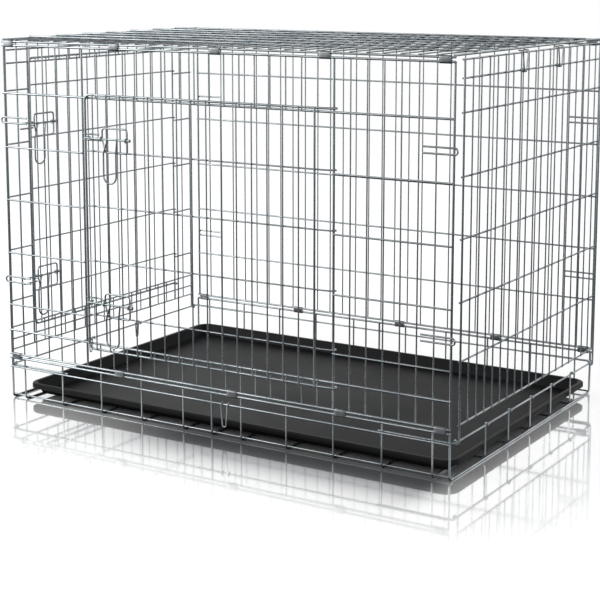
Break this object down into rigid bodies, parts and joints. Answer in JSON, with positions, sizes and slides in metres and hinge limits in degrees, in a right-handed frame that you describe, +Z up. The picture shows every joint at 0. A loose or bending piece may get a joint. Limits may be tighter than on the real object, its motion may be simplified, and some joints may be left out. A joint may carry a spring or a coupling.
{
  "type": "folding wire dog crate",
  "caption": "Folding wire crate with a front door, an end door, sliding bolt latches and a slide-out tray; its end panels fold in and the wire tube folds flat.",
  "frame": {"origin": "floor level under the middle of the crate's base", "axes": "+X towards the plain end panel, -Y towards the front door, +Z up"},
  "size_m": [1.2096, 0.8009, 0.86],
  "materials": {
    "galvanised_wire": "satin",
    "zinc_sheet": "satin",
    "black_plastic": "satin"
  },
  "bodies": {
    "base": {"base_frame": "galvanised_wire", "base_clip_front_1": "zinc_sheet", "base_clip_front_2": "zinc_sheet", "base_clip_front_3": "zinc_sheet", "base_clip_front_4": "zinc_sheet", "base_clip_front_5": "zinc_sheet", "base_clip_back_1": "zinc_sheet", "base_clip_back_2": "zinc_sheet", "base_clip_back_3": "zinc_sheet", "base_clip_back_4": "zinc_sheet", "base_clip_back_5": "zinc_sheet"},
    "tray": {"tray": "black_plastic"},
    "front_panel": {"front_panel": "galvanised_wire"},
    "roof": {"roof_panel": "galvanised_wire", "roof_clip_front_1": "zinc_sheet", "roof_clip_front_2": "zinc_sheet", "roof_clip_front_3": "zinc_sheet", "roof_clip_front_4": "zinc_sheet", "roof_clip_front_5": "zinc_sheet", "roof_clip_back_1": "zinc_sheet", "roof_clip_back_2": "zinc_sheet", "roof_clip_back_3": "zinc_sheet", "roof_clip_back_4": "zinc_sheet", "roof_clip_back_5": "zinc_sheet"},
    "back_panel": {"back_panel": "galvanised_wire"},
    "left_end": {"left_end_panel": "galvanised_wire"},
    "right_end": {"right_end_panel": "galvanised_wire"},
    "front_door": {"front_door": "galvanised_wire"},
    "side_door": {"side_door": "galvanised_wire"},
    "front_latch_upper": {"front_latch_upper": "galvanised_wire"},
    "front_latch_lower": {"front_latch_lower": "galvanised_wire"},
    "side_latch_upper": {"side_latch_upper": "galvanised_wire"},
    "side_latch_lower": {"side_latch_lower": "galvanised_wire"},
    "roof_hook_left_front": {"roof_hook_left_front": "galvanised_wire"},
    "roof_hook_left_back": {"roof_hook_left_back": "galvanised_wire"},
    "roof_hook_right_front": {"roof_hook_right_front": "galvanised_wire"},
    "roof_hook_right_back": {"roof_hook_right_back": "galvanised_wire"},
    "tray_hook_front": {"tray_hook_front": "galvanised_wire"},
    "tray_hook_back": {"tray_hook_back": "galvanised_wire"},
    "closing_hook": {"closing_hook": "galvanised_wire"}
  },
  "joints": [
    {"name": "tray_slide", "type": "slide", "parent": "base", "child": "tray", "axis": [-1, 0, 0], "range_m": [0, 1.05]},
    {"name": "front_fold", "type": "hinge", "parent": "base", "child": "front_panel", "pos_m": [0, -0.385, 0.109], "axis": [-1, 0, 0], "range_deg": [-80, 0]},
    {"name": "roof_fold", "type": "hinge", "parent": "front_panel", "child": "roof", "pos_m": [0, -0.385, 0.8415], "axis": [-1, 0, 0], "range_deg": [0, 80]},
    {"name": "back_fold", "type": "hinge", "parent": "base", "child": "back_panel", "pos_m": [0, 0.385, 0.109], "axis": [-1, 0, 0], "range_deg": [-80, 0]},
    {"name": "left_end_fold", "type": "hinge", "parent": "base", "child": "left_end", "pos_m": [-0.5875, 0, 0.0795], "axis": [0, 1, 0], "range_deg": [0, 88]},
    {"name": "right_end_fold", "type": "hinge", "parent": "base", "child": "right_end", "pos_m": [0.5875, 0, 0.0795], "axis": [0, -1, 0], "range_deg": [0, 82]},
    {"name": "front_door_swing", "type": "hinge", "parent": "front_panel", "child": "front_door", "pos_m": [0.30933, -0.3814, 0.45], "axis": [0, 0, 1], "range_deg": [0, 150]},
    {"name": "side_door_swing", "type": "hinge", "parent": "left_end", "child": "side_door", "pos_m": [-0.5925, 0.28816, 0.48], "axis": [0, 0, 1], "range_deg": [-150, 0]},
    {"name": "front_latch_upper_slide", "type": "slide", "parent": "front_door", "child": "front_latch_upper", "axis": [1, 0, 0], "range_m": [0, 0.0135]},
    {"name": "front_latch_lower_slide", "type": "slide", "parent": "front_door", "child": "front_latch_lower", "axis": [1, 0, 0], "range_m": [0, 0.0135]},
    {"name": "side_latch_upper_slide", "type": "slide", "parent": "side_door", "child": "side_latch_upper", "axis": [0, 1, 0], "range_m": [0, 0.0075]},
    {"name": "side_latch_lower_slide", "type": "slide", "parent": "side_door", "child": "side_latch_lower", "axis": [0, 1, 0], "range_m": [0, 0.0075]},
    {"name": "roof_hook_left_front_turn", "type": "hinge", "parent": "left_end", "child": "roof_hook_left_front", "pos_m": [-0.5886, -0.07684, 0.829], "axis": [0, -1, 0], "range_deg": [0, 110]},
    {"name": "roof_hook_left_back_turn", "type": "hinge", "parent": "left_end", "child": "roof_hook_left_back", "pos_m": [-0.5886, 0.11526, 0.829], "axis": [0, -1, 0], "range_deg": [0, 110]},
    {"name": "roof_hook_right_front_turn", "type": "hinge", "parent": "right_end", "child": "roof_hook_right_front", "pos_m": [0.5886, -0.07684, 0.809], "axis": [0, 1, 0], "range_deg": [0, 110]},
    {"name": "roof_hook_right_back_turn", "type": "hinge", "parent": "right_end", "child": "roof_hook_right_back", "pos_m": [0.5886, 0.11526, 0.809], "axis": [0, 1, 0], "range_deg": [0, 110]},
    {"name": "tray_hook_front_turn", "type": "hinge", "parent": "base", "child": "tray_hook_front", "pos_m": [-0.5875, -0.07684, 0.0795], "axis": [0, 1, 0], "range_deg": [0, 90]},
    {"name": "tray_hook_back_turn", "type": "hinge", "parent": "base", "child": "tray_hook_back", "pos_m": [-0.5875, 0.11526, 0.0795], "axis": [0, 1, 0], "range_deg": [0, 90]},
    {"name": "closing_hook_turn", "type": "hinge", "parent": "base", "child": "closing_hook", "pos_m": [0.03867, -0.3853, 0.078], "axis": [-1, 0, 0], "range_deg": [0, 90]}
  ],
  "couplings": [
    {"joint": "roof_fold", "follows": "front_fold", "ratio": -1},
    {"joint": "back_fold", "follows": "front_fold", "ratio": 1}
  ]
}
